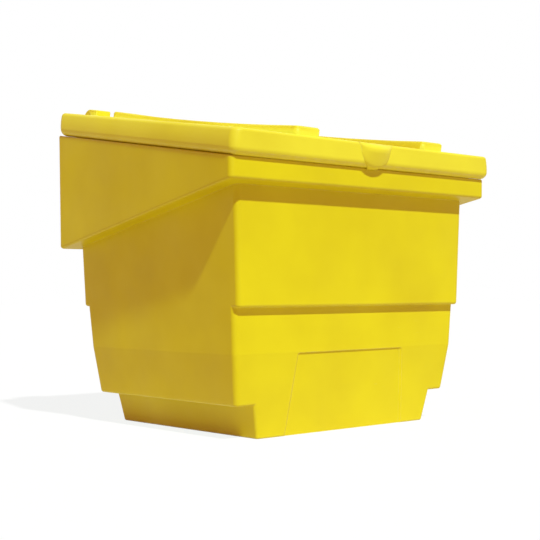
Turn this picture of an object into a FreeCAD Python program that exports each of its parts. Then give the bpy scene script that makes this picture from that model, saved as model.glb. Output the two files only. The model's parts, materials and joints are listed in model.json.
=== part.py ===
"""Grit salt bin: a moulded bin with a wedge-shaped rim, a hinged double-skin lid and two steel hinge rods.

Millimetres, +Z up, front towards -Y. The origin is on the ground, under the middle of the whole bin.
"""
import FreeCAD, Part
import Sketcher
import math
import os

ORIGIN = FreeCAD.Vector(0, 0, 0)
X_AXIS = FreeCAD.Vector(1, 0, 0)
Y_AXIS = FreeCAD.Vector(0, 1, 0)
UPRIGHT = FreeCAD.Placement(ORIGIN, FreeCAD.Rotation(X_AXIS, 90))

doc = FreeCAD.newDocument("grit_salt_bin")
sheet = doc.addObject("Spreadsheet::Sheet", "sizes")

# Driving dimensions: alias, value, meaning
SIZES = [
    ("wall", 6, "thickness of the moulded bin wall"),
    ("corner_radius", 14, "outside radius of the upright corners"),
    ("edge_radius", 8, "radius of the lower edges of rim, step and ledges and of the foot's corners"),
    ("edge_bevel", 3, "bevel of the foot's lower edges and of the rim's top edges"),
    ("rim_half_width", 500, "half width of the rim at its top"),
    ("rim_side_out", 52.2, "how far the rim stands out past the top of the side walls"),
    ("neck_side_out", 14.2, "how far the side walls lean out from the step to their top"),
    ("step_side_out", 7.3, "how far the side walls lean out from the crease to the step"),
    ("crease_side_out", 33.3, "how far the side walls lean out from the ground to the crease"),
    ("ledge_width", 47, "width of the fork ledges"),
    ("ledge_lean", 19.7, "how far the foot's sides draw in from the ledges to the ground"),
    ("base_front", -290.5, "front edge of the foot"),
    ("base_back", 328.3, "back edge of the foot"),
    ("crease_front_out", 30.5, "how far the front wall leans out from the ground to the crease"),
    ("crease_back_out", 23.6, "how far the back wall leans out from the ground to the crease"),
    ("step_front_out", 4.7, "how far the front wall leans out from the crease to the step"),
    ("step_back_out", 10.3, "how far the back wall leans out from the crease to the step"),
    ("step_front_depth", 20.5, "depth of the step in the front wall"),
    ("step_back_depth", 20, "depth of the step in the back wall"),
    ("neck_front_out", 7.3, "how far the front wall leans out from the step to its top"),
    ("neck_back_out", 10.2, "how far the back wall leans out from the step to its top"),
    ("rim_front_out", 44.6, "how far the rim stands out past the top of the front wall"),
    ("rim_back_out", 30.3, "how far the rim stands out past the top of the back wall"),
    ("ledge_height", 90, "height of the fork ledges over the ground"),
    ("crease_height", 225.4, "height of the crease in the walls"),
    ("step_height", 346.4, "height of the step in the front and back walls"),
    ("rim_back_height", 860.8, "height of the rim's top at its back face"),
    ("rim_back_depth", 343.8, "height of the rim's back face"),
    ("rim_front_depth", 55.5, "height of the rim's front face"),
    ("rim_draft", 3, "how far the rim faces draw in towards their foot"),
    ("neck_in_rim", 20, "how far the walls run up into the rim at the front"),
    ("lid_tilt", 9.4, "slope of the rim's top and of the lid, in degrees"),
    ("flange_width", 38, "width of the rim's top at the sides and the front"),
    ("flange_back_width", 56, "width of the rim's top at the back"),
    ("mouth_radius", 40, "corner radius of the bin's mouth"),
    ("panel_low_half_width", 225, "half width of the front panel recess at the ground"),
    ("panel_top_half_width", 200, "half width of the front panel recess at its top"),
    ("panel_below_crease", 3, "distance from the crease to the top of the recess"),
    ("panel_depth", 4, "depth of the front panel recess"),
    ("panel_side_run", 7, "width of the slopes at the recess's sides"),
    ("panel_top_run", 1, "width of the slope at the recess's top"),
    ("panel_corner_radius", 6, "radius of the recess's upper corners"),
    ("lid_skin", 5, "thickness of the lid's skins"),
    ("lid_thickness", 68.5, "thickness of the lid"),
    ("lid_gap", 0.5, "space between the lid and the rim"),
    ("lid_side_overhang", 5, "how far the lid stands past the rim at each side"),
    ("lid_front_overhang", 20, "how far the lid stands past the rim at the front"),
    ("lid_back_setback", 6.3, "how far the lid's back edge is in front of the rim's back face"),
    ("lid_front_draft", 3.5, "how far the lid's front face draws in towards its foot"),
    ("lid_back_draft", 5, "how far the lid's back face draws in towards its foot"),
    ("lid_corner_radius", 24, "radius of the lid's upright corners"),
    ("lid_low_radius", 20, "radius of the lid's lower edge"),
    ("lid_top_radius", 8, "radius of the lid's upper edge"),
    ("lid_overlap", 10, "how far the lid's ribs, plug and nose run into its slab"),
    ("plug_depth", 14, "how far the lid's underside drops into the mouth"),
    ("plug_clearance", 8, "space between that drop and the mouth"),
    ("rib_inner", 227, "inner side of each raised rib, carried back to the hinge axis"),
    ("rib_outer", 318, "outer side of each raised rib, carried back to the hinge axis"),
    ("rib_splay", 1.8, "how much the ribs close in towards the front, in degrees"),
    ("rib_height", 23, "height of the raised ribs at their ends"),
    ("rib_sag", 9, "how much lower the ribs are halfway along"),
    ("rib_front_setback", 17, "distance from the lid's front edge to the ribs"),
    ("rib_back_setback", 0, "distance from the lid's back edge to the ribs"),
    ("rib_end_radius", 14, "radius of the ribs' upright corners"),
    ("rib_bevel", 5, "bevel of the ribs' upper edges"),
    ("nose_top_drop", 0.5, "height of the lift nose's upper end under the lid's top"),
    ("nose_top_half_width", 66, "half width of the lift nose at its upper end"),
    ("nose_top_reach", 2, "how far the lift nose stands out at its upper end"),
    ("nose_ridge_drop", 14, "height of the nose's ridge under the lid's top"),
    ("nose_ridge_half_width", 60, "half width of the lift nose at its ridge"),
    ("nose_ridge_reach", 38, "how far the lift nose stands out at its ridge"),
    ("nose_belly_drop", 38, "height of the nose's belly under the lid's top"),
    ("nose_belly_half_width", 46, "half width of the lift nose at its belly"),
    ("nose_belly_reach", 34, "how far the lift nose stands out at its belly"),
    ("nose_foot_drop", 59, "height of the nose's foot under the lid's top"),
    ("nose_foot_half_width", 32, "half width of the lift nose at its foot"),
    ("nose_foot_reach", 24, "how far the lift nose stands out at its foot"),
    ("nose_end_drop", 69, "height of the nose's lower end under the lid's top"),
    ("nose_end_half_width", 20, "half width of the lift nose at its lower end"),
    ("nose_end_reach", 6, "how far the lift nose stands out at its lower end"),
    ("axis_behind_rim", 13.2, "distance from the rim's back face to the hinge axis"),
    ("axis_below_lid_top", 16, "distance from the plane of the lid's top to the hinge axis"),
    ("arm_side_setback", 112, "distance from the rim's side to each hinge arm"),
    ("arm_width", 54, "width of each hinge arm"),
    ("arm_rise", 20, "height of the hinge arms over the lid's top"),
    ("arm_front", 46, "distance from the hinge axis to the front of an arm"),
    ("barrel_radius", 20, "outside radius of the arms round the hinge rod"),
    ("arm_back_radius", 28, "radius of the arms' upper back edge"),
    ("arm_bevel", 3, "bevel of the arms' upper edges"),
    ("lug_width", 25, "width of each hinge lug on the bin"),
    ("lug_gap", 1.5, "space between a lug and an arm"),
    ("lug_half_depth", 16, "distance from the hinge axis to a lug's faces and top"),
    ("lug_stop_radius", 3, "radius of the lug edge that the open lid rests on"),
    ("lug_foot", 120, "height of a lug's foot below the hinge axis"),
    ("rod_radius", 6, "radius of the hinge rods"),
    ("rod_clearance", 0.08, "radial space round a rod in an arm"),
    ("lug_clearance", 0.02, "radial space round a rod in a lug"),
    ("rod_end", 5, "length of a rod past the lugs"),
    ("rod_bevel", 1, "bevel of the rods' ends"),
    ("cap_radius", 11, "radius of the push-on caps"),
    ("cap_skin", 2, "thickness of the caps' closed ends"),
    ("cap_bevel", 3, "bevel of the caps' outer edges"),
]
for row, (alias, value, meaning) in enumerate(SIZES, start=1):
    sheet.set("A%d" % row, meaning)
    sheet.set("B%d" % row, str(value))
    sheet.setAlias("B%d" % row, alias)
doc.recompute()


def size(alias):
    """The number that the sheet holds under an alias."""
    return float(sheet.get(alias))


# Places that several pieces share, as formulas of the sheet
TILT = "sizes.lid_tilt"
CREASE_FRONT = "(sizes.base_front - sizes.crease_front_out)"
CREASE_BACK = "(sizes.base_back + sizes.crease_back_out)"
STEP_FRONT = "(%s - sizes.step_front_out)" % CREASE_FRONT
STEP_BACK = "(%s + sizes.step_back_out)" % CREASE_BACK
UPPER_FRONT = "(%s - sizes.step_front_depth)" % STEP_FRONT
UPPER_BACK = "(%s + sizes.step_back_depth)" % STEP_BACK
NECK_FRONT = "(%s - sizes.neck_front_out)" % UPPER_FRONT
NECK_BACK = "(%s + sizes.neck_back_out)" % UPPER_BACK
RIM_FRONT = "(%s - sizes.rim_front_out)" % NECK_FRONT
RIM_BACK = "(%s + sizes.rim_back_out)" % NECK_BACK
NECK_SIDE = "(sizes.rim_half_width - sizes.rim_side_out)"
STEP_SIDE = "(%s - sizes.neck_side_out)" % NECK_SIDE
CREASE_SIDE = "(%s - sizes.step_side_out)" % STEP_SIDE
SKIRT_SIDE = "(%s - sizes.crease_side_out)" % CREASE_SIDE
LEDGE_INNER = "(%s - sizes.ledge_width)" % SKIRT_SIDE
BASE_SIDE = "(%s - sizes.ledge_lean)" % LEDGE_INNER
RIM_DEPTH = "(%s - %s)" % (RIM_BACK, RIM_FRONT)
RIM_FRONT_HEIGHT = "(sizes.rim_back_height - %s * tan(%s))" % (RIM_DEPTH, TILT)
RIM_FRONT_LOW = "(%s - sizes.rim_front_depth)" % RIM_FRONT_HEIGHT
RIM_BACK_LOW = "(sizes.rim_back_height - sizes.rim_back_depth)"
NECK_HEIGHT = "(%s + sizes.neck_in_rim)" % RIM_FRONT_LOW
HINGE_Y = "(%s + sizes.axis_behind_rim)" % RIM_BACK
SEAT_DROP = "(sizes.lid_thickness + sizes.lid_gap - sizes.axis_below_lid_top)"
HINGE_Z = ("(sizes.rim_back_height + sizes.axis_behind_rim * tan(%s) + %s / cos(%s))"
           % (TILT, SEAT_DROP, TILT))
FRONT_LEAN = "atan(sizes.crease_front_out / sizes.crease_height)"
ARM_OUTER = "(sizes.rim_half_width - sizes.arm_side_setback)"
ARM_INNER = "(%s - sizes.arm_width)" % ARM_OUTER
OUTER_LUG = "(%s + sizes.lug_gap)" % ARM_OUTER
INNER_LUG = "(%s - sizes.lug_gap - sizes.lug_width)" % ARM_INNER
FAR = 1000
NEAR = 0.1


def add(kind, name, **formulas):
    """A document object whose properties are bound to formulas of the sheet."""
    item = doc.addObject(kind, name)
    for key, formula in formulas.items():
        item.setExpression(key, str(formula))
    return item


def place(item, x=0, y=0, z=0, axis=X_AXIS, angle=0):
    """Puts an object at a point and turns it about an axis, all bound to formulas."""
    item.Placement = FreeCAD.Placement(ORIGIN, FreeCAD.Rotation(axis, 1))
    item.setExpression("Placement.Base.x", str(x))
    item.setExpression("Placement.Base.y", str(y))
    item.setExpression("Placement.Base.z", str(z))
    item.setExpression("Placement.Rotation.Angle", str(angle))
    return item


def value(formula):
    """The number that a formula of the sheet gives now."""
    result = sheet.evalExpression(str(formula))
    return float(getattr(result, "Value", result))


def drafted_block(name, low, high):
    """A block between two level rectangles, each given as (height, left, right, front, back)."""
    block = add("Part::Wedge", name,
                Ymin=low[0], Xmin=low[1], Xmax=low[2], Zmin="-(%s)" % low[4], Zmax="-(%s)" % low[3],
                Ymax=high[0], X2min=high[1], X2max=high[2],
                Z2min="-(%s)" % high[4], Z2max="-(%s)" % high[3])
    block.Placement = UPRIGHT
    return block


def rounded_rectangle(name, level, radius):
    """A level sketch of a rectangle with rounded corners, given as (height, left, right, front, back)."""
    height, left, right, front, back = level
    x_low, x_high, y_low, y_high, r = (value(formula) for formula in (left, right, front, back, radius))
    sketch = doc.addObject("Sketcher::SketchObject", name)
    place(sketch, z=height)
    corners = [(x_low, y_low), (x_high, y_low), (x_high, y_high), (x_low, y_high)]
    along = [(1, 0), (0, 1), (-1, 0), (0, -1)]
    for (x, y), (next_x, next_y), (dx, dy) in zip(corners, corners[1:] + corners[:1], along):
        start = FreeCAD.Vector(x + dx * r, y + dy * r, 0)
        end = FreeCAD.Vector(next_x - dx * r, next_y - dy * r, 0)
        sketch.addGeometry(Part.LineSegment(start, end), False)
    inward = [(-1, 1), (-1, -1), (1, -1), (1, 1)]
    for turn, (x, y) in enumerate(corners[1:] + corners[:1]):
        centre = FreeCAD.Vector(x + inward[turn][0] * r, y + inward[turn][1] * r, 0)
        circle = Part.Circle(centre, FreeCAD.Vector(0, 0, 1), r)
        sketch.addGeometry(Part.ArcOfCircle(circle, (turn - 1) * math.pi / 2, turn * math.pi / 2), False)
    for turn in range(4):
        arc = 4 + turn
        sketch.addConstraint(Sketcher.Constraint("Tangent", turn, 2, arc, 1))
        sketch.addConstraint(Sketcher.Constraint("Tangent", arc, 2, (turn + 1) % 4, 1))
        sketch.addConstraint(Sketcher.Constraint("Horizontal" if turn % 2 == 0 else "Vertical", turn))
        if turn:
            sketch.addConstraint(Sketcher.Constraint("Equal", 4, arc))
    sides = [("DistanceY", 0, front), ("DistanceX", 1, right), ("DistanceY", 2, back), ("DistanceX", 3, left)]
    for kind, line, formula in sides:
        index = sketch.addConstraint(Sketcher.Constraint(kind, -1, 1, line, 1, value(formula)))
        sketch.setExpression("Constraints[%d]" % index, str(formula))
    index = sketch.addConstraint(Sketcher.Constraint("Radius", 4, r))
    sketch.setExpression("Constraints[%d]" % index, str(radius))
    return sketch


def four_sided(name, corners):
    """A sketch of four lines through corners that are given as formulas, across and up."""
    sketch = doc.addObject("Sketcher::SketchObject", name)
    points = [FreeCAD.Vector(value(across), value(up), 0) for across, up in corners]
    for start, end in zip(points, points[1:] + points[:1]):
        sketch.addGeometry(Part.LineSegment(start, end), False)
    for line in range(4):
        sketch.addConstraint(Sketcher.Constraint("Coincident", line, 2, (line + 1) % 4, 1))
    for line, corner in enumerate(corners):
        for kind, formula in zip(("DistanceX", "DistanceY"), corner):
            index = sketch.addConstraint(Sketcher.Constraint(kind, -1, 1, line, 1, value(formula)))
            sketch.setExpression("Constraints[%d]" % index, str(formula))
    return sketch


def drafted_shell_form(name, levels, radius):
    """A solid through level rectangles with rounded corners, with flat sides between them."""
    loft = doc.addObject("Part::Loft", name)
    loft.Sections = [rounded_rectangle("%s_section_%d" % (name, count), level, radius)
                     for count, level in enumerate(levels, start=1)]
    loft.Solid = True
    loft.Ruled = True
    return loft


def even(height, half_width, front, back):
    """A level rectangle with the same half width on both sides."""
    return (height, "-(%s)" % half_width, half_width, front, back)


def fuse(name, items):
    """One solid out of several."""
    result = doc.addObject("Part::MultiFuse", name)
    result.Shapes = items
    result.Refine = True
    return result


def cut(name, base, tool):
    """The base without the tool."""
    result = doc.addObject("Part::Cut", name)
    result.Base = base
    result.Tool = tool
    result.Refine = True
    return result


def common(name, base, tool):
    """What the base and the tool share."""
    result = doc.addObject("Part::Common", name)
    result.Base = base
    result.Tool = tool
    return result


def rounded(name, base, radius, wanted):
    """The base with the wanted edges rounded."""
    doc.recompute()
    result = doc.addObject("Part::Fillet", name)
    result.Base = base
    chosen = [index for index, edge in enumerate(base.Shape.Edges, start=1) if wanted(edge)]
    result.Edges = [(index, radius, radius) for index in chosen]
    doc.recompute()
    return result


def bevelled(name, base, depth, wanted):
    """The base with the wanted edges bevelled."""
    doc.recompute()
    result = doc.addObject("Part::Chamfer", name)
    result.Base = base
    chosen = [index for index, edge in enumerate(base.Shape.Edges, start=1) if wanted(edge)]
    result.Edges = [(index, depth, depth) for index in chosen]
    doc.recompute()
    return result


def direction(edge):
    """The unit direction from one end of an edge to the other."""
    ends = [vertex.Point for vertex in edge.Vertexes]
    if len(ends) < 2:
        return FreeCAD.Vector(0, 0, 0)
    return (ends[1] - ends[0]).normalize()


def middle(edge):
    """The point halfway along an edge."""
    return edge.valueAt((edge.FirstParameter + edge.LastParameter) / 2)


def is_upright(edge):
    """True for an edge that runs up and down."""
    return abs(direction(edge).z) > 0.9


def is_across(edge):
    """True for a straight edge that runs from side to side."""
    return abs(direction(edge).x) > 0.999


def heights(edge):
    """The lowest and highest end of an edge."""
    ends = [vertex.Point.z for vertex in edge.Vertexes]
    return min(ends), max(ends)


def walls(prefix, inset):
    """The walls below the rim. The upper ones start further out, and the lower ones run on inside them."""
    foot = even(inset, "%s - %s" % (SKIRT_SIDE, inset),
                "sizes.base_front + %s" % inset, "sizes.base_back - %s" % inset)
    crease = even("sizes.crease_height", "%s - %s" % (CREASE_SIDE, inset),
                  "%s + %s" % (CREASE_FRONT, inset), "%s - %s" % (CREASE_BACK, inset))
    step = even("sizes.step_height + %s" % inset, "%s - %s" % (STEP_SIDE, inset),
                "%s + %s" % (STEP_FRONT, inset), "%s - %s" % (STEP_BACK, inset))
    over_step = even("sizes.step_height + %s" % inset, "%s - %s" % (STEP_SIDE, inset),
                     "%s + %s" % (UPPER_FRONT, inset), "%s - %s" % (UPPER_BACK, inset))
    neck = even(NECK_HEIGHT, "%s - %s" % (NECK_SIDE, inset),
                "%s + %s" % (NECK_FRONT, inset), "%s - %s" % (NECK_BACK, inset))
    inner_neck = even(NECK_HEIGHT, "%s - %s" % (NECK_SIDE, inset),
                      "%s + %s" % (STEP_FRONT, inset), "%s - %s" % (STEP_BACK, inset))
    radius = "sizes.corner_radius - %s" % inset
    return (drafted_shell_form(prefix + "_lower_walls", [foot, crease, step, inner_neck], radius),
            drafted_shell_form(prefix + "_upper_walls", [over_step, neck], radius))


def rim(prefix, inset):
    """The rim: a wedge, deep at the back, whose faces draw in a little towards its foot."""
    slab = add("Part::Wedge", prefix + "_rim_profile",
               Xmin="-sizes.rim_half_width", Xmax="sizes.rim_half_width",
               X2min="-sizes.rim_half_width", X2max="sizes.rim_half_width",
               Ymin=RIM_FRONT, Ymax=RIM_BACK,
               Zmin="%s + %s" % (RIM_FRONT_LOW, inset),
               Zmax="%s - %s / cos(%s)" % (RIM_FRONT_HEIGHT, inset, TILT),
               Z2min="%s + %s" % (RIM_BACK_LOW, inset),
               Z2max="sizes.rim_back_height - %s / cos(%s)" % (inset, TILT))
    rim_foot = even(RIM_BACK_LOW, "sizes.rim_half_width - sizes.rim_draft - %s" % inset,
                    "%s + sizes.rim_draft + %s" % (RIM_FRONT, inset),
                    "%s - sizes.rim_draft - %s" % (RIM_BACK, inset))
    rim_top = even("sizes.rim_back_height", "sizes.rim_half_width - %s" % inset,
                   "%s + %s" % (RIM_FRONT, inset), "%s - %s" % (RIM_BACK, inset))
    draft = drafted_shell_form(prefix + "_rim_draft", [rim_foot, rim_top], "sizes.corner_radius - %s" % inset)
    return common(prefix + "_rim", slab, draft)


def over_forks(prefix, form, inset):
    """The form without the spaces under both its sides, through which lift forks pass."""
    for side, name in ((-1, "left"), (1, "right")):
        space = fork_space(prefix + "_fork_space_" + name, side, inset)
        form = cut("%s_%s_ledge" % (prefix, name), form, space)
    return form


def fork_space(name, side, inset):
    """The space under one side ledge, grown by the inset."""
    low, high = "(%s - %s)" % (BASE_SIDE, inset), "(%s - %s)" % (LEDGE_INNER, inset)
    low_span = (low, FAR) if side > 0 else (-FAR, "-" + low)
    high_span = (high, FAR) if side > 0 else (-FAR, "-" + high)
    return drafted_block(name, (0, *low_span, -FAR, FAR),
                         ("sizes.ledge_height + %s" % inset, *high_span, -FAR, FAR))


def panel_recess(name, inset):
    """The block that sinks the front panel, leaning with the front wall and grown by the inset."""
    length = "(sizes.crease_height / cos(%s) - sizes.panel_below_crease + %s)" % (FRONT_LEAN, inset)
    floor = "(sizes.panel_depth + %s / cos(%s))" % (inset, FRONT_LEAN)
    taper = "(sizes.panel_low_half_width - sizes.panel_top_half_width) / %s" % length
    top = "(sizes.panel_top_half_width + %s)" % inset
    low = "(sizes.panel_low_half_width + %s + %s * %s)" % (inset, FAR / 10, taper)
    sections = []
    for count, outward in (("floor", 0), ("front", 2)):
        run = "%s * sizes.panel_side_run" % outward
        up = "%s + %s * sizes.panel_top_run" % (length, outward)
        corners = [("-%s - %s" % (low, run), -FAR / 10), ("%s + %s" % (low, run), -FAR / 10),
                   ("%s + %s" % (top, run), up), ("-%s - %s" % (top, run), up)]
        section = four_sided("%s_%s" % (name, count), corners)
        depth = "(%s - %s * sizes.panel_depth)" % (floor, outward)
        place(section, y="sizes.base_front + %s * cos(%s)" % (depth, FRONT_LEAN),
              z="%s * sin(%s)" % (depth, FRONT_LEAN), angle="90 deg + %s" % FRONT_LEAN)
        sections.append(section)
    block = doc.addObject("Part::Loft", name)
    block.Sections = sections
    block.Solid = True
    block.Ruled = True
    return block


def is_upper_recess_corner(edge):
    """True for the recess block's two edges that run through the wall at its upper corners."""
    along = direction(edge)
    return abs(along.x) < 0.95 and abs(along.z) < 0.5 and middle(edge).z > size("crease_height") / 2


def tilted_prism(name, level, radius, y, z, depth):
    """A rounded rectangle in the plane of the rim's top, carried the same depth to both sides."""
    sketch = rounded_rectangle(name + "_outline", level, radius)
    place(sketch, y=y, z=z, angle=TILT)
    prism = add("Part::Extrusion", name, LengthFwd=depth, LengthRev=depth)
    prism.Base = sketch
    prism.DirMode = "Normal"
    prism.Solid = True
    return prism


def hinge_lug(name, left):
    """A lug behind the rim that holds a hinge rod. Its upper back edge is where the open lid rests."""
    half = "sizes.lug_half_depth"
    block = add("Part::Box", name + "_block", Length="sizes.lug_width", Width="2 * " + half,
                Height="sizes.lug_foot / 2 + " + half)
    place(block, x=left, y="%s - %s" % (HINGE_Y, half), z="%s - sizes.lug_foot / 2" % HINGE_Z)
    front = "%s - %s" % (HINGE_Y, half)
    right = "%s + sizes.lug_width" % left
    foot = drafted_block(name + "_foot",
                         ("%s - sizes.lug_foot" % HINGE_Z, left, right, front, "%s + sizes.wall" % front),
                         ("%s - sizes.lug_foot / 2" % HINGE_Z, left, right, front,
                          "%s + %s" % (HINGE_Y, half)))
    lug = fuse(name + "_form", [block, foot])
    top = value(HINGE_Z) + size("lug_half_depth")
    axis_y = value(HINGE_Y)
    lug = rounded(name + "_nose", lug, size("lug_half_depth") - NEAR,
                  lambda edge: (is_across(edge) and abs(middle(edge).z - top) < NEAR
                                and middle(edge).y < axis_y))
    back = axis_y + size("lug_half_depth")
    return rounded(name, lug, size("lug_stop_radius"),
                   lambda edge: (is_across(edge) and abs(middle(edge).z - top) < NEAR
                                 and abs(middle(edge).y - back) < NEAR))


def rod_hole(name, radius):
    """A hole along the hinge axis, through everything on both sides."""
    hole = add("Part::Cylinder", name, Radius=radius, Height=2 * FAR)
    place(hole, x=-FAR, y=HINGE_Y, z=HINGE_Z, axis=Y_AXIS, angle=90)
    return hole


def is_rim_edge(edge):
    """True for the outer edges of the rim that run round it."""
    point = middle(edge)
    margin = size("corner_radius")
    on_side = abs(point.x) > size("rim_half_width") - margin - size("rim_draft")
    on_end = not value(RIM_FRONT) + margin < point.y < value(RIM_BACK) - margin
    return heights(edge)[0] > value(RIM_BACK_LOW) - NEAR and not is_upright(edge) and (on_side or on_end)


def is_rim_top(edge):
    """True for the edges round the rim's top."""
    point = middle(edge)
    drop = (value(RIM_BACK) - point.y) * math.tan(math.radians(size("lid_tilt")))
    return is_rim_edge(edge) and abs(size("rim_back_height") - drop - point.z) < 1


def is_rounded_edge(edge):
    """True for the rim's lower edges, the ledges' outer edges and the foot's upright corners."""
    low, high = heights(edge)
    if is_rim_edge(edge):
        return not is_rim_top(edge)
    if is_upright(edge):
        return low < NEAR and abs(middle(edge).x) > value(BASE_SIDE) - NEAR
    on_ledge = abs(high - size("ledge_height")) < NEAR and abs(low - high) < NEAR
    return on_ledge and abs(middle(edge).x) > value(LEDGE_INNER) + NEAR


def is_bevelled_edge(edge):
    """True for the rim's top edges and the foot's lower edges."""
    return is_rim_top(edge) or heights(edge)[1] < NEAR


# The bin: outer form, hollow, mouth and hinge lugs
lower, upper = walls("bin_outside", "0")
upper = rounded("bin_step_edge", upper, size("edge_radius"),
                lambda edge: heights(edge)[1] < size("step_height") + NEAR)
outside = over_forks("bin_outside", fuse("bin_outside_form", [lower, upper, rim("bin_outside", "0")]), "0")
outside = rounded("bin_rounded_edges", outside, size("edge_radius"), is_rounded_edge)
outside = bevelled("bin_bevelled_edges", outside, size("edge_bevel"), is_bevelled_edge)
recess = rounded("bin_recess", panel_recess("bin_recess_block", "0"), size("panel_corner_radius"),
                 is_upper_recess_corner)
outside = cut("bin_front_panel", outside, recess)
hollow = fuse("bin_hollow_form", [*walls("bin_hollow", "sizes.wall"), rim("bin_hollow", "sizes.wall")])
hollow = cut("bin_hollow_panel", over_forks("bin_hollow", hollow, "sizes.wall"),
             panel_recess("bin_hollow_recess", "sizes.wall"))
mouth = tilted_prism("bin_mouth", (0, "-(sizes.rim_half_width - sizes.flange_width)",
                                   "sizes.rim_half_width - sizes.flange_width",
                                   "sizes.flange_width - %s / cos(%s)" % (RIM_DEPTH, TILT),
                                   "-sizes.flange_back_width"),
                     "sizes.mouth_radius", RIM_BACK, "sizes.rim_back_height", "4 * sizes.wall")
lugs = []
for name, left in (("right_inner", INNER_LUG), ("right_outer", OUTER_LUG),
                   ("left_inner", "-%s - sizes.lug_width" % INNER_LUG),
                   ("left_outer", "-%s - sizes.lug_width" % OUTER_LUG)):
    lugs.append(hinge_lug("lug_" + name, left))
bin_shell = cut("bin_shell", outside, fuse("bin_space", [hollow, mouth]))
bin_with_lugs = fuse("bin_with_lugs", [bin_shell] + lugs)
lug_holes = rod_hole("lug_holes", "sizes.rod_radius + sizes.lug_clearance")
bin_body = cut("bin_body", bin_with_lugs, lug_holes)

# The lid, in its own frame: the hinge axis is its X axis and the lid lies level
LID_TOP = "sizes.axis_below_lid_top"
LID_LOW = "(sizes.axis_below_lid_top - sizes.lid_thickness)"
LID_HALF_WIDTH = "(sizes.rim_half_width + sizes.lid_side_overhang)"
LID_BACK = ("((%s * sin(%s) - sizes.axis_behind_rim - sizes.lid_back_setback) / cos(%s))"
            % (LID_TOP, TILT, TILT))
LID_FRONT = ("((%s * sin(%s) + %s - sizes.lid_front_overhang - %s) / cos(%s))"
             % (LID_TOP, TILT, RIM_FRONT, HINGE_Y, TILT))
LEAN = "(sizes.lid_thickness * tan(%s))" % TILT
RIB_FRONT = "(%s + sizes.rib_front_setback)" % LID_FRONT
RIB_BACK = "(%s - sizes.rib_back_setback)" % LID_BACK
RIB_SAG_RADIUS = ("((((%s - %s) / 2) ^ 2 + sizes.rib_sag ^ 2) / (2 * sizes.rib_sag))"
                  % (RIB_BACK, RIB_FRONT))
RIM_EDGE = "(-sizes.axis_behind_rim / cos(%s) - %s * tan(%s))" % (TILT, SEAT_DROP, TILT)
MOUTH_BACK = "(%s - sizes.flange_back_width)" % RIM_EDGE
MOUTH_FRONT = "(%s - %s / cos(%s) + sizes.flange_width)" % (RIM_EDGE, RIM_DEPTH, TILT)


def lid_slab(prefix, inset):
    """The lid without its ribs, whose ends stand upright when the lid lies on the sloping rim."""
    low = even("%s + %s" % (LID_LOW, inset), "%s - %s" % (LID_HALF_WIDTH, inset),
               "%s - %s + sizes.lid_front_draft + %s" % (LID_FRONT, LEAN, inset),
               "%s - %s - sizes.lid_back_draft - %s" % (LID_BACK, LEAN, inset))
    high = even("%s - %s" % (LID_TOP, inset), "%s - %s" % (LID_HALF_WIDTH, inset),
                "%s + %s" % (LID_FRONT, inset), "%s - %s" % (LID_BACK, inset))
    return drafted_shell_form(prefix + "_slab", [low, high], "sizes.lid_corner_radius - %s" % inset)


def lid_plug(prefix, inset):
    """The part of the underside that drops into the mouth."""
    half = "sizes.rim_half_width - sizes.flange_width - sizes.plug_clearance - %s" % inset
    front = "%s + sizes.plug_clearance + %s" % (MOUTH_FRONT, inset)
    back = "%s - sizes.plug_clearance - %s" % (MOUTH_BACK, inset)
    low = even("%s - sizes.plug_depth + %s" % (LID_LOW, inset), half, front, back)
    high = even("%s + sizes.lid_overlap" % LID_LOW, half, front, back)
    return drafted_shell_form(prefix + "_plug", [low, high],
                              "sizes.mouth_radius - sizes.plug_clearance - %s" % inset)


def lid_rib(prefix, side, inset):
    """One raised rib on top of the lid, from front to back, a little lower halfway along."""
    inner = "sizes.rib_inner + %s" % inset
    outer = "sizes.rib_outer - %s" % inset
    left, right = (inner, outer) if side > 0 else ("-(%s)" % outer, "-(%s)" % inner)
    front = "%s + %s" % (RIB_FRONT, inset)
    back = "%s - %s" % (RIB_BACK, inset)
    low = ("%s - sizes.lid_overlap" % LID_TOP, left, right, front, back)
    high = ("%s + sizes.rib_height + sizes.lid_overlap" % LID_TOP, left, right, front, back)
    bar = drafted_shell_form(prefix + "_bar", [low, high], "sizes.rib_end_radius - %s" % inset)
    sag = add("Part::Cylinder", prefix + "_sag", Radius="%s + %s" % (RIB_SAG_RADIUS, inset), Height=2 * FAR)
    place(sag, x=-FAR, y="(%s + %s) / 2" % (RIB_FRONT, RIB_BACK),
          z="%s + sizes.rib_height - sizes.rib_sag + %s" % (LID_TOP, RIB_SAG_RADIUS), axis=Y_AXIS, angle=90)
    rib = cut(prefix, bar, sag)
    return place(rib, axis=FreeCAD.Vector(0, 0, 1), angle="%s * sizes.rib_splay" % -side)


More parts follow.
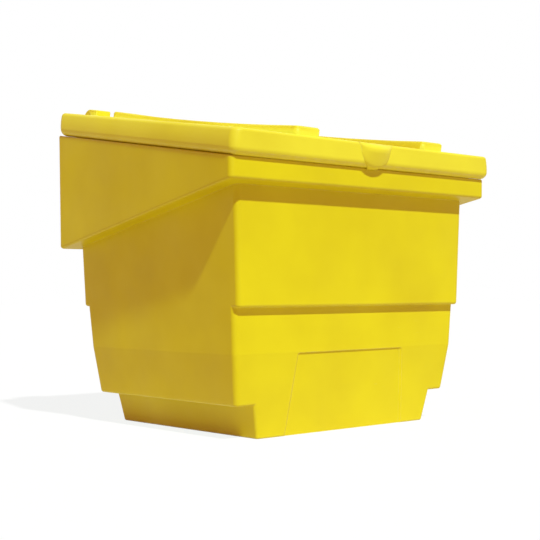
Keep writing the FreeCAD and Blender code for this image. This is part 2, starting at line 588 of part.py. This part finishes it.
def nose_section(name, drop, half_width, reach):
    """A level section of the lift nose: an arc in front of the lid's front face, closed inside the lid."""
    face = "(%s - (%s - sizes.lid_front_draft) * %s / sizes.lid_thickness)" % (LID_FRONT, LEAN, drop)
    inside = "(%s + sizes.lid_overlap)" % face
    half, tip, front, back = value(half_width), value("%s - %s" % (face, reach)), value(face), value(inside)
    sketch = doc.addObject("Sketcher::SketchObject", name)
    place(sketch, z="%s - %s" % (LID_TOP, drop))
    left, right = FreeCAD.Vector(-half, front, 0), FreeCAD.Vector(half, front, 0)
    back_left, back_right = FreeCAD.Vector(-half, back, 0), FreeCAD.Vector(half, back, 0)
    sketch.addGeometry(Part.Arc(left, FreeCAD.Vector(0, tip, 0), right), False)
    sketch.addGeometry(Part.LineSegment(right, back_right), False)
    sketch.addGeometry(Part.LineSegment(back_right, back_left), False)
    sketch.addGeometry(Part.LineSegment(back_left, left), False)
    sketch.addConstraint(Sketcher.Constraint("Coincident", 0, 2, 1, 1))
    sketch.addConstraint(Sketcher.Constraint("Coincident", 1, 2, 2, 1))
    sketch.addConstraint(Sketcher.Constraint("Coincident", 2, 2, 3, 1))
    sketch.addConstraint(Sketcher.Constraint("Coincident", 3, 2, 0, 1))
    sketch.addConstraint(Sketcher.Constraint("Vertical", 1))
    sketch.addConstraint(Sketcher.Constraint("Vertical", 3))
    sketch.addConstraint(Sketcher.Constraint("Horizontal", 2))
    places = [("DistanceX", 0, 1, "-(%s)" % half_width), ("DistanceX", 0, 2, half_width),
              ("DistanceY", 0, 2, face), ("DistanceY", 2, 1, inside)]
    for kind, line, end, formula in places:
        index = sketch.addConstraint(Sketcher.Constraint(kind, -1, 1, line, end, value(formula)))
        sketch.setExpression("Constraints[%d]" % index, str(formula))
    radius = "(%s ^ 2 + %s ^ 2) / (2 * %s)" % (half_width, reach, reach)
    index = sketch.addConstraint(Sketcher.Constraint("Radius", 0, value(radius)))
    sketch.setExpression("Constraints[%d]" % index, radius)
    return sketch


def lift_nose():
    """The nose under which fingers lift the lid: widest at the lid's top, furthest out at its ridge."""
    nose = doc.addObject("Part::Loft", "lift_nose")
    nose.Sections = [nose_section("nose_" + level, "sizes.nose_%s_drop" % level,
                                  "sizes.nose_%s_half_width" % level, "sizes.nose_%s_reach" % level)
                     for level in ("end", "foot", "belly", "ridge", "top")]
    nose.Solid = True
    return nose


def hinge_arm(name, left):
    """An arm that reaches from the lid's top over its back edge and round the hinge rod."""
    barrel = add("Part::Cylinder", name + "_barrel", Radius="sizes.barrel_radius", Height="sizes.arm_width")
    place(barrel, x=left, axis=Y_AXIS, angle=90)
    block = add("Part::Box", name + "_block", Length="sizes.arm_width",
                Width="sizes.arm_front + sizes.barrel_radius", Height="%s + sizes.arm_rise" % LID_TOP)
    place(block, x=left, y="-sizes.arm_front")
    arm = fuse(name + "_form", [block, barrel])
    top = size("axis_below_lid_top") + size("arm_rise")
    arm = rounded(name + "_back", arm, size("arm_back_radius"),
                  lambda edge: is_across(edge) and abs(middle(edge).z - top) < NEAR and middle(edge).y > 0)
    return bevelled(name, arm, size("arm_bevel"),
                    lambda edge: (abs(heights(edge)[1] - top) < NEAR
                                  and middle(edge).y < size("barrel_radius") - NEAR))


slab = lid_slab("lid", "0")
lid_low = value(LID_LOW)
lid_top = value(LID_TOP)
slab_low_edges = rounded("lid_low_edges", slab, size("lid_low_radius"),
                         lambda edge: heights(edge)[1] < lid_low + NEAR)
slab_edges = rounded("lid_top_edges", slab_low_edges, size("lid_top_radius"),
                     lambda edge: heights(edge)[0] > lid_top - NEAR)
ribs = []
for side, name in ((-1, "left"), (1, "right")):
    rib = lid_rib("rib_%s_form" % name, side, "0")
    ribs.append(bevelled("rib_" + name, rib, size("rib_bevel"),
                         lambda edge: heights(edge)[0] > lid_top + NEAR))
arms = [hinge_arm("arm_right", ARM_INNER), hinge_arm("arm_left", "-" + ARM_OUTER)]
lid_outside = fuse("lid_outside", [slab_edges, lid_plug("lid", "0"), lift_nose()] + ribs + arms)
lid_hollow = fuse("lid_hollow", [lid_slab("lid_hollow", "sizes.lid_skin"),
                                 lid_plug("lid_hollow", "sizes.lid_skin"),
                                 lid_rib("lid_hollow_rib_left", -1, "sizes.lid_skin"),
                                 lid_rib("lid_hollow_rib_right", 1, "sizes.lid_skin")])
arm_bore = add("Part::Cylinder", "arm_bore", Radius="sizes.rod_radius + sizes.rod_clearance", Height=2 * FAR)
place(arm_bore, x=-FAR, axis=Y_AXIS, angle=90)
lid = cut("lid", lid_outside, fuse("lid_space", [lid_hollow, arm_bore]))
place(lid, y=HINGE_Y, z=HINGE_Z, angle=TILT)


# Hinge rods and their push-on caps
def hinge_rod(name, left, length):
    """A steel rod through two lugs and the arm between them, bevelled at both ends."""
    rod = add("Part::Cylinder", name + "_stock", Radius="sizes.rod_radius", Height=length)
    place(rod, x=left, y=HINGE_Y, z=HINGE_Z, axis=Y_AXIS, angle=90)
    doc.recompute()
    bevelled = doc.addObject("Part::Chamfer", name)
    bevelled.Base = rod
    ends = [index for index, edge in enumerate(rod.Shape.Edges, start=1) if len(edge.Vertexes) == 1]
    bevelled.Edges = [(index, size("rod_bevel"), size("rod_bevel")) for index in ends]
    return bevelled


def rod_cap(name, face, outward):
    """A domed cap pushed over the end of a rod, against the outer side of a lug."""
    angle = 90 if outward > 0 else -90
    depth = "sizes.rod_end + sizes.cap_skin"
    dome = add("Part::Cylinder", name + "_stock", Radius="sizes.cap_radius", Height=depth)
    place(dome, x=face, y=HINGE_Y, z=HINGE_Z, axis=Y_AXIS, angle=angle)
    far = value(face) + outward * value(depth)
    dome = bevelled(name + "_dome", dome, size("cap_bevel"),
                    lambda edge: len(edge.Vertexes) == 1 and abs(edge.Vertexes[0].X - far) < NEAR)
    bore = add("Part::Cylinder", name + "_bore", Radius="sizes.rod_radius", Height="sizes.rod_end")
    place(bore, x=face, y=HINGE_Y, z=HINGE_Z, axis=Y_AXIS, angle=angle)
    return cut(name, dome, bore)


ROD_INNER_FACE = INNER_LUG
ROD_OUTER_FACE = "(%s + sizes.lug_width)" % OUTER_LUG
ROD_LENGTH = "%s - %s + 2 * sizes.rod_end" % (ROD_OUTER_FACE, ROD_INNER_FACE)
pieces = {
    "bin_body": bin_body,
    "lid": lid,
    "hinge_rod_right": hinge_rod("hinge_rod_right", "%s - sizes.rod_end" % ROD_INNER_FACE, ROD_LENGTH),
    "hinge_rod_left": hinge_rod("hinge_rod_left", "-%s - sizes.rod_end" % ROD_OUTER_FACE, ROD_LENGTH),
    "rod_cap_right_outer": rod_cap("rod_cap_right_outer", ROD_OUTER_FACE, 1),
    "rod_cap_right_inner": rod_cap("rod_cap_right_inner", ROD_INNER_FACE, -1),
    "rod_cap_left_outer": rod_cap("rod_cap_left_outer", "-" + ROD_OUTER_FACE, -1),
    "rod_cap_left_inner": rod_cap("rod_cap_left_inner", "-" + ROD_INNER_FACE, 1),
}
doc.recompute()

for item in doc.Objects:
    if "Invalid" in item.State or "Error" in item.State:
        raise SystemExit("%s failed: %s" % (item.Name, item.State))
os.makedirs("parts", exist_ok=True)
for name, piece in pieces.items():
    piece.Label = name
    shape = piece.Shape
    if shape.isNull() or not shape.isValid() or len(shape.Solids) != 1:
        raise SystemExit("%s is not one valid solid" % name)
    shape.exportStep("parts/%s.step" % name)
    print("%-22s %8.1f cm3" % (name, shape.Volume / 1000))
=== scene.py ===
"""Looks of the grit salt bin: moulded polyethylene, zinc-plated hinge parts, a pale floor and soft light.

Metres, +Z up, front towards -Y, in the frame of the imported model.
"""
import json
import math

import bmesh
import bpy
from mathutils import Matrix, Vector


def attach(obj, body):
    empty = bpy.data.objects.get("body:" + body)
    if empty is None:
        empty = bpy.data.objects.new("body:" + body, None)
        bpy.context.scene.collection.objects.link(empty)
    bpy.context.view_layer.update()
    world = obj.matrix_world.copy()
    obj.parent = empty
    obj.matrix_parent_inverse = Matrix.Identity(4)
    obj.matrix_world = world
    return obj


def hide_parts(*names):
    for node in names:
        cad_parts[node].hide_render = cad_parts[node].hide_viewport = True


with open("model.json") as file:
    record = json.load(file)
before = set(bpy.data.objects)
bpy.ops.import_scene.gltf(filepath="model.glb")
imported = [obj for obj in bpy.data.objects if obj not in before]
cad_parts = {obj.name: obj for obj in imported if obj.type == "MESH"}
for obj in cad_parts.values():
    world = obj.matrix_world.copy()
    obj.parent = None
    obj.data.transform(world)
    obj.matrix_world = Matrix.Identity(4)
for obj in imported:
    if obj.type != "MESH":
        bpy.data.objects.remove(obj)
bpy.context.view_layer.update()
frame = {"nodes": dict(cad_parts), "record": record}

# The photograph's camera
CAMERA_PLACE = Vector((-2.25156, -2.53019, 0.38702))
CAMERA_YAW = math.radians(41.3816)
CAMERA_PITCH = math.radians(1.1102)
CAMERA_ROLL = math.radians(-0.2894)
FOCAL_PIXELS = 1122.8857
PICTURE_PIXELS = 540
SENSOR_MM = 36

# Light: a far key from the front, above and a little to the left, and an even warm fill
KEY_DIRECTION = Vector((0.26, 1.0, -1.21))
KEY_STRENGTH = 3.2
KEY_COLOUR = (0.78, 1.0, 1.0)
KEY_SOFTNESS = math.radians(2.2)
FILL_COLOUR = (0.36, 0.14, 0.11)
WHITE = (1.0, 1.0, 1.0)

# The floor throws back more light near the bin than far from it. As it is seen, it is mostly white by
# itself, so that the key's shadow on it stays faint and neutral.
FLOOR_SIZE = 60
FLOOR_NEAR, FLOOR_NEAR_REACH = (0.82, 0.78, 0.72), 0.55
FLOOR_FAR, FLOOR_FAR_REACH = (0.60, 0.52, 0.47), 1.5
FLOOR_SEEN = (0.190, 0.148, 0.148)
FLOOR_LIFT = (0.82, 0.87, 0.87)

# Rotomoulded polyethylene
BIN_YELLOW = (0.815, 0.660, 0.003)
# The lid's yellow is paler than the bin's: partly its own tone, partly painted light that brightens the
# lid
LID_YELLOW_AND_PAINTED_LIGHT = (0.94, 0.81, 0.030)
BIN_SEED, LID_SEED = 0.0, 3.7
DEEP_TINT = (0.93, 0.90, 0.90)
PALE_TINT = (1.03, 1.04, 1.20)
GRAIN_SHARE = 0.10
SCUFF_PALE, SCUFF_PALENESS = 0.9, 0.30
SCUFF_STRETCH = (14, 14, 160)
SCUFF_SHARE = 0.35
SCUFF_ROUGHNESS = 0.12
# Edges painted paler: partly wear, partly a painted highlight where edges catch the light
EDGE_WEAR_AND_HIGHLIGHT_RADIUS = 0.004
EDGE_WEAR_AND_HIGHLIGHT_START, EDGE_WEAR_AND_HIGHLIGHT_FULL = 0.999, 0.955
EDGE_WEAR_AND_HIGHLIGHT_SHARE = 0.5
PEEL_SHARE = 0.35
PEEL_STRENGTH, PEEL_HEIGHT = 0.18, 0.0012
PLASTIC_GLOSS = (0.42, 0.52)
PLASTIC_IOR, PLASTIC_SPECULAR = 1.52, 0.25

# Zinc-plated steel
ZINC = (0.60, 0.61, 0.62)
ZINC_DULLNESS = 0.72
DRAWN_STRETCH = (30, 900, 900)
DRAWN_STRENGTH, DRAWN_HEIGHT = 0.10, 0.0003
STEEL_GLOSS = (0.30, 0.46)

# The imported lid. Heights are taken square to it, from the hinge axis.
LID_TILT = math.radians(9.4)
LID_TOP = 0.016
LID_THICKNESS = 0.0685
LID_LOW_RADIUS = 0.020
LID_FRONT = -0.4186
LID_FRONT_DRAFT = 0.0035 / LID_THICKNESS

# The scene's lid: each side is one soft curve, which starts inboard of it and is widest at one height.
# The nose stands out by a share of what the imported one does, and is wider or narrower, by how far a
# place lies under the lid's top.
SIDE_ROW = 0.004
SIDE_ROWS = [row * SIDE_ROW for row in range(-8, 3)]
SIDE_WIDEST = -0.030
SIDE_RADIUS = 0.125
SIDE_START, SIDE_END = 0.450, 0.492
NOSE_HALF_WIDTH = 0.075
NOSE_DEPTH = 0.004
NOSE_SHARES = ((0.0, 0.60), (0.014, 0.50), (0.038, 0.35), (0.059, 0.24), (0.070, 0.20))
NOSE_WIDTHS = ((0.0, 1.0), (0.014, 1.0), (0.026, 1.08), (0.038, 1.16), (0.048, 1.16), (0.059, 1.05),
               (0.069, 0.9))
LID_SHARP = math.radians(28)

# The strips in the lid's lower edge
WELD = 1e-6
KNIFE_ANGLE = math.radians(110)
LEAST_LIP = 12
STRIP_DEPTH = 0.0025
STRIP_SHARP = math.radians(40)


def rgba(colour):
    """A colour with full opacity."""
    return (*colour, 1.0)


def tinted(colour, tint):
    """A colour times a tint, channel by channel, and never over 1."""
    return tuple(min(1.0, channel * share) for channel, share in zip(colour, tint))


class Graph:
    """A small helper round one material's or world's node tree."""

    def __init__(self, owner):
        owner.use_nodes = True
        self.tree = owner.node_tree
        self.tree.nodes.clear()

    def feed(self, socket, value):
        """Gives a socket a value or another node's output."""
        if isinstance(value, bpy.types.NodeSocket):
            self.tree.links.new(value, socket)
        else:
            socket.default_value = value

    def add(self, kind, inputs=None, **settings):
        """A node with its settings and its inputs, each a value or another node's output."""
        node = self.tree.nodes.new(kind)
        for key, value in settings.items():
            setattr(node, key, value)
        for key, value in (inputs or {}).items():
            self.feed(node.inputs[key], value)
        return node

    def blend(self, share, low, high):
        """Two colours mixed by a share."""
        node = self.add("ShaderNodeMix", data_type="RGBA")
        for name, value in (("Factor_Float", share), ("A_Color", low), ("B_Color", high)):
            self.feed(next(socket for socket in node.inputs if socket.identifier == name), value)
        return next(socket for socket in node.outputs if socket.identifier == "Result_Color")

    def math(self, operation, first, second):
        """One sum on two numbers."""
        return self.add("ShaderNodeMath", {0: first, 1: second}, operation=operation).outputs[0]

    def spread(self, source, low, high, to_low=0.0, to_high=1.0):
        """A number moved from one span to another and kept inside it."""
        node = self.add("ShaderNodeMapRange", {"Value": source, "From Min": low, "From Max": high,
                                               "To Min": to_low, "To Max": to_high})
        return node.outputs["Result"]

    def noise(self, place, scale, detail, roughness=0.5):
        """Noise from 0 to 1 at so many features per metre."""
        node = self.add("ShaderNodeTexNoise", {"Vector": place, "Scale": scale, "Detail": detail,
                                               "Roughness": roughness})
        return node.outputs["Fac"]

    def stretched(self, place, scale):
        """Places scaled by a number for each axis, so that what is drawn there gets narrower."""
        return self.add("ShaderNodeMapping", {"Vector": place, "Scale": scale}).outputs[0]

    def bump(self, height, strength, distance):
        """A surface direction that follows a height."""
        node = self.add("ShaderNodeBump", {"Height": height, "Strength": strength, "Distance": distance})
        return node.outputs["Normal"]


def moulded_polyethylene(name, colour, seed):
    """Rotomoulded polyethylene: faint clouds, an orange-peel skin, light scuffs, and edges painted paler,
    partly as wear and partly as painted highlight.
    """
    material = bpy.data.materials.new(name)
    graph = Graph(material)
    place = graph.add("ShaderNodeTexCoord").outputs["Object"]
    place = graph.add("ShaderNodeVectorMath", {0: place, 1: (seed, seed * 0.7, seed * 1.3)}).outputs[0]
    deep, pale = rgba(tinted(colour, DEEP_TINT)), rgba(tinted(colour, PALE_TINT))
    # The scuffs' pale colour, also used for the edges' painted highlight
    scuff_and_highlight_pale = rgba(tuple(channel + (SCUFF_PALE - channel) * SCUFF_PALENESS for channel in colour))

    # The pigment: clouds, and fine grains in them
    clouds = graph.noise(place, scale=4.5, detail=3)
    grains = graph.noise(place, scale=900, detail=2)
    tone = graph.blend(graph.spread(clouds, 0.3, 0.7), deep, pale)
    tone = graph.blend(graph.spread(grains, 0.35, 0.65, to_high=GRAIN_SHARE), tone, pale)

    # Scuffs: short pale scratches, mostly sideways, in patches
    scratches = graph.noise(graph.stretched(place, SCUFF_STRETCH), scale=1.0, detail=6, roughness=0.65)
    patches = graph.noise(place, scale=3.2, detail=2)
    scuffs = graph.math("MULTIPLY", graph.spread(scratches, 0.66, 0.74), graph.spread(patches, 0.52, 0.66))
    tone = graph.blend(graph.math("MULTIPLY", scuffs, SCUFF_SHARE), tone, scuff_and_highlight_pale)

    # Wear and painted highlight: the edges are painted a little paler, partly as rubbed wear and partly as
    # light catching them, here more and there less
    exact = graph.add("ShaderNodeNewGeometry").outputs["Normal"]
    softened = graph.add("ShaderNodeBevel", {"Radius": EDGE_WEAR_AND_HIGHLIGHT_RADIUS}, samples=4).outputs[0]
    turn = graph.add("ShaderNodeVectorMath", {0: exact, 1: softened}, operation="DOT_PRODUCT")
    rubbed_and_lit = graph.spread(turn.outputs["Value"], EDGE_WEAR_AND_HIGHLIGHT_START, EDGE_WEAR_AND_HIGHLIGHT_FULL)
    uneven = graph.noise(place, scale=38, detail=5, roughness=0.7)
    rubbed_and_lit = graph.math("MULTIPLY", rubbed_and_lit, graph.spread(uneven, 0.40, 0.68, to_low=0.15))
    tone = graph.blend(graph.math("MULTIPLY", rubbed_and_lit, EDGE_WEAR_AND_HIGHLIGHT_SHARE), tone, scuff_and_highlight_pale)

    # The skin: orange peel on soft waves, glossier here and duller there
    peel = graph.noise(place, scale=260, detail=3, roughness=0.55)
    waves = graph.noise(place, scale=22, detail=2, roughness=0.4)
    height = graph.math("ADD", graph.math("MULTIPLY", peel, PEEL_SHARE), waves)
    gloss = graph.spread(graph.noise(place, scale=7, detail=3), 0.3, 0.7, *PLASTIC_GLOSS)
    gloss = graph.math("ADD", gloss, graph.math("MULTIPLY", scuffs, SCUFF_ROUGHNESS))
    shader = graph.add("ShaderNodeBsdfPrincipled", {
        "Base Color": tone, "Roughness": gloss, "Normal": graph.bump(height, PEEL_STRENGTH, PEEL_HEIGHT),
        "IOR": PLASTIC_IOR, "Specular IOR Level": PLASTIC_SPECULAR})
    graph.add("ShaderNodeOutputMaterial", {"Surface": shader.outputs[0]})
    return material


def plated_steel(name):
    """Zinc-plated steel: grey metal with fine drawn lines and cloudy plating."""
    material = bpy.data.materials.new(name)
    graph = Graph(material)
    place = graph.add("ShaderNodeTexCoord").outputs["Object"]
    clouds = graph.noise(place, scale=180, detail=4, roughness=0.6)
    dull = tinted(ZINC, (ZINC_DULLNESS,) * 3)
    tone = graph.blend(graph.spread(clouds, 0.35, 0.65), rgba(dull), rgba(ZINC))
    lines = graph.noise(graph.stretched(place, DRAWN_STRETCH), scale=1.0, detail=3)
    shader = graph.add("ShaderNodeBsdfPrincipled", {
        "Base Color": tone, "Metallic": 1.0, "Roughness": graph.spread(clouds, 0.3, 0.7, *STEEL_GLOSS),
        "Normal": graph.bump(lines, DRAWN_STRENGTH, DRAWN_HEIGHT)})
    graph.add("ShaderNodeOutputMaterial", {"Surface": shader.outputs[0]})
    return material


def seen_directly(graph):
    """1 for rays from the camera, and for those seen in gloss or through glass, and 0 for the rest."""
    path = graph.add("ShaderNodeLightPath").outputs
    either = graph.math("MAXIMUM", path["Is Camera Ray"], path["Is Glossy Ray"])
    return graph.math("MAXIMUM", either, path["Is Transmission Ray"])


def pale_floor():
    """A pale floor that looks white where no shadow falls."""
    bpy.ops.mesh.primitive_plane_add(size=FLOOR_SIZE)
    floor = bpy.context.object
    floor.name = "floor"
    material = bpy.data.materials.new("pale_floor")
    graph = Graph(material)
    place = graph.add("ShaderNodeNewGeometry").outputs["Position"]
    away = graph.add("ShaderNodeVectorMath", {0: place}, operation="LENGTH").outputs["Value"]
    share = graph.spread(away, FLOOR_NEAR_REACH, FLOOR_FAR_REACH)
    bounce = graph.blend(share, rgba(FLOOR_NEAR), rgba(FLOOR_FAR))
    plain = graph.add("ShaderNodeBsdfDiffuse", {"Color": bounce}).outputs[0]
    pale = graph.add("ShaderNodeBsdfDiffuse", {"Color": rgba(FLOOR_SEEN)}).outputs[0]
    lift = graph.add("ShaderNodeEmission", {"Color": rgba(FLOOR_LIFT), "Strength": 1.0}).outputs[0]
    lifted = graph.add("ShaderNodeAddShader", {0: pale, 1: lift}).outputs[0]
    shown = graph.add("ShaderNodeMixShader", {0: seen_directly(graph), 1: plain, 2: lifted}).outputs[0]
    graph.add("ShaderNodeOutputMaterial", {"Surface": shown})
    floor.data.materials.append(material)


def soft_world():
    """An even warm fill that the camera sees as white."""
    world = bpy.data.worlds.new("studio")
    bpy.context.scene.world = world
    graph = Graph(world)
    fill = graph.add("ShaderNodeBackground", {"Color": rgba(FILL_COLOUR), "Strength": 1.0}).outputs[0]
    white = graph.add("ShaderNodeBackground", {"Color": rgba(WHITE), "Strength": 1.0}).outputs[0]
    shown = graph.add("ShaderNodeMixShader", {0: seen_directly(graph), 1: fill, 2: white}).outputs[0]
    graph.add("ShaderNodeOutputWorld", {"Surface": shown})


def key_light():
    """The far lamp that throws the soft shadows."""
    lamp = bpy.data.lights.new("key", "SUN")
    lamp.energy = KEY_STRENGTH
    lamp.color = KEY_COLOUR
    lamp.angle = KEY_SOFTNESS
    holder = bpy.data.objects.new("key", lamp)
    holder.rotation_euler = KEY_DIRECTION.to_track_quat("-Z", "Y").to_euler()
    bpy.context.scene.collection.objects.link(holder)


def camera():
    """The camera at the photograph's place and angle."""
    lens = bpy.data.cameras.new("camera")
    lens.sensor_width = SENSOR_MM
    lens.lens = SENSOR_MM * FOCAL_PIXELS / PICTURE_PIXELS
    lens.clip_end = 2 * FLOOR_SIZE
    holder = bpy.data.objects.new("camera", lens)
    holder.matrix_world = (Matrix.Translation(CAMERA_PLACE)
                           @ Matrix.Rotation(-CAMERA_YAW, 4, "Z")
                           @ Matrix.Rotation(math.radians(90) + CAMERA_PITCH, 4, "X")
                           @ Matrix.Rotation(CAMERA_ROLL, 4, "Z"))
    bpy.context.scene.collection.objects.link(holder)
    bpy.context.scene.camera = holder


def welded(mesh):
    """A mesh with the corners that share a place joined."""
    work = bmesh.new()
    work.from_mesh(mesh)
    bmesh.ops.remove_doubles(work, verts=work.verts, dist=WELD)
    return work


def lid_piece(name, work, sharp, material):
    """A new piece that rides on the lid, smooth but for the edges that turn by more than an angle."""
    mesh = bpy.data.meshes.new(name)
    work.to_mesh(mesh)
    mesh.shade_smooth()
    mesh.set_sharp_from_angle(angle=sharp)
    mesh.materials.append(material)
    piece = bpy.data.objects.new(name, mesh)
    bpy.context.scene.collection.objects.link(piece)
    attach(piece, "lid")
    return piece


def between(pairs, place):
    """The value at a place between pairs of place and value."""
    for (low, low_value), (high, high_value) in zip(pairs, pairs[1:]):
        if place <= high:
            share = max(0.0, (place - low) / (high - low))
            return low_value + share * (high_value - low_value)
    return pairs[-1][1]


def rounded_back(drop):
    """How far the lid's front lies back, so far under its top, where its lower edge is rounded."""
    into = min(LID_LOW_RADIUS, max(0.0, drop - (LID_THICKNESS - LID_LOW_RADIUS)))
    return LID_LOW_RADIUS - math.sqrt(LID_LOW_RADIUS ** 2 - into ** 2)


def cut_side_rows(work, hinge, upward):
    """Divides the lid's sides into level rows, so that they can curve."""
    for row in SIDE_ROWS:
        faces = [face for face in work.faces if all(abs(vert.co.x) > SIDE_START for vert in face.verts)]
        edges = dict.fromkeys(edge for face in faces for edge in face.edges)
        verts = dict.fromkeys(vert for face in faces for vert in face.verts)
        bmesh.ops.bisect_plane(work, geom=[*faces, *edges, *verts], dist=WELD,
                               plane_co=hinge + upward * row, plane_no=upward)


def curve_side(place, height):
    """Moves a place near one of the lid's sides inward, more above and below the widest height."""
    off = height - SIDE_WIDEST
    inward = SIDE_RADIUS - math.sqrt(SIDE_RADIUS ** 2 - off ** 2)
    share = min(1.0, max(0.0, (abs(place.x) - SIDE_START) / (SIDE_END - SIDE_START)))
    place.x -= math.copysign(inward * share * share * (3 - 2 * share), place.x)


def shape_nose(place, drop):
    """Moves a place on the lift nose towards the lid's front, and to the nose's outline."""
    front = LID_FRONT + LID_FRONT_DRAFT * drop + rounded_back(drop)
    if place.y < front + NOSE_DEPTH and abs(place.x) < NOSE_HALF_WIDTH:
        place.x *= between(NOSE_WIDTHS, drop)
        if place.y < front:
            place.y = front - (front - place.y) * between(NOSE_SHARES, drop)


def shaped_lid(material):
    """The lid with softly curved sides and a shallow lift nose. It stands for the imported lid."""
    hinge = Vector(frame["record"]["behaviour"]["joints"][0]["pos_m"])
    upward = Vector((0, -math.sin(LID_TILT), math.cos(LID_TILT)))
    work = welded(frame["nodes"]["lid"].data)
    cut_side_rows(work, hinge, upward)
    for vert in work.verts:
        height = (vert.co - hinge).dot(upward)
        curve_side(vert.co, height)
        shape_nose(vert.co, LID_TOP - height)
    bmesh.ops.triangulate(work, faces=[face for face in work.faces if len(face.verts) > 3])
    lid = lid_piece("moulded_lid", work, LID_SHARP, material)
    even = lid.modifiers.new("even_normals", "WEIGHTED_NORMAL")
    even.keep_sharp = True
    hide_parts("lid")
    return lid.data


def slit_lips(work):
    """The knife edges on both sides of each slit, as chains of corners from one end to the other."""
    ways = {}
    for edge in work.edges:
        if edge.is_manifold and edge.calc_face_angle() > KNIFE_ANGLE:
            for vert in edge.verts:
                ways.setdefault(vert, []).append(edge)
    seen = set()
    for start in [vert for vert, edges in ways.items() if len(edges) == 1]:
        chain = []
        step = start
        while step is not None and step not in seen:
            seen.add(step)
            chain.append(step)
            further = (edge.other_vert(step) for edge in ways[step])
            step = next((vert for vert in further if vert not in seen), None)
        if len(chain) > LEAST_LIP:
            yield [vert.co.copy() for vert in chain]


def zipped(first, second):
    """Triangles between two chains that share their last corner, each closed by its shorter diagonal."""
    here, there = 0, 0
    while here < len(first) - 1 or there < len(second) - 1:
        on_first = (first[here + 1] - second[there]).length if here < len(first) - 1 else math.inf
        on_second = (first[here] - second[there + 1]).length if there < len(second) - 1 else math.inf
        if on_first <= on_second:
            yield first[here], first[here + 1], second[there]
            here += 1
        else:
            yield first[here], second[there + 1], second[there]
            there += 1


def closed_lid_edge(lid_mesh, material):
    """Strips that close the slit along the lid's rounded lower edge, where the hollow comes through."""
    for chain in slit_lips(welded(lid_mesh)):
        turn = max(range(len(chain)), key=lambda place: chain[place].y)
        side = "left" if chain[turn].x < 0 else "right"
        work = bmesh.new()
        for corners in zipped(chain[:turn + 1], chain[:turn - 1:-1]):
            if len({tuple(corner) for corner in corners}) == 3:
                work.faces.new([work.verts.new(corner) for corner in corners])
        bmesh.ops.remove_doubles(work, verts=work.verts, dist=WELD)
        bmesh.ops.recalc_face_normals(work, faces=work.faces)
        outward = sum((face.normal * face.calc_area() for face in work.faces), Vector())
        if outward.z > 0:
            bmesh.ops.reverse_faces(work, faces=work.faces)
        bmesh.ops.solidify(work, geom=list(work.faces), thickness=STRIP_DEPTH)
        bmesh.ops.recalc_face_normals(work, faces=work.faces)
        lid_piece("lid_edge_" + side, work, STRIP_SHARP, material)


def dress(node, material):
    """Gives a CAD node its material."""
    mesh = frame["nodes"][node].data
    mesh.materials.clear()
    mesh.materials.append(material)


camera()
soft_world()
key_light()
pale_floor()
dress("bin_body", moulded_polyethylene("bin_polyethylene", BIN_YELLOW, BIN_SEED))
lid_plastic = moulded_polyethylene("lid_polyethylene", LID_YELLOW_AND_PAINTED_LIGHT, LID_SEED)
dress("lid", lid_plastic)
closed_lid_edge(shaped_lid(lid_plastic), lid_plastic)
steel = plated_steel("plated_steel")
for node in frame["nodes"]:
    if node.startswith(("hinge_rod", "rod_cap")):
        dress(node, steel)
bpy.context.scene.view_settings.view_transform = "Standard"
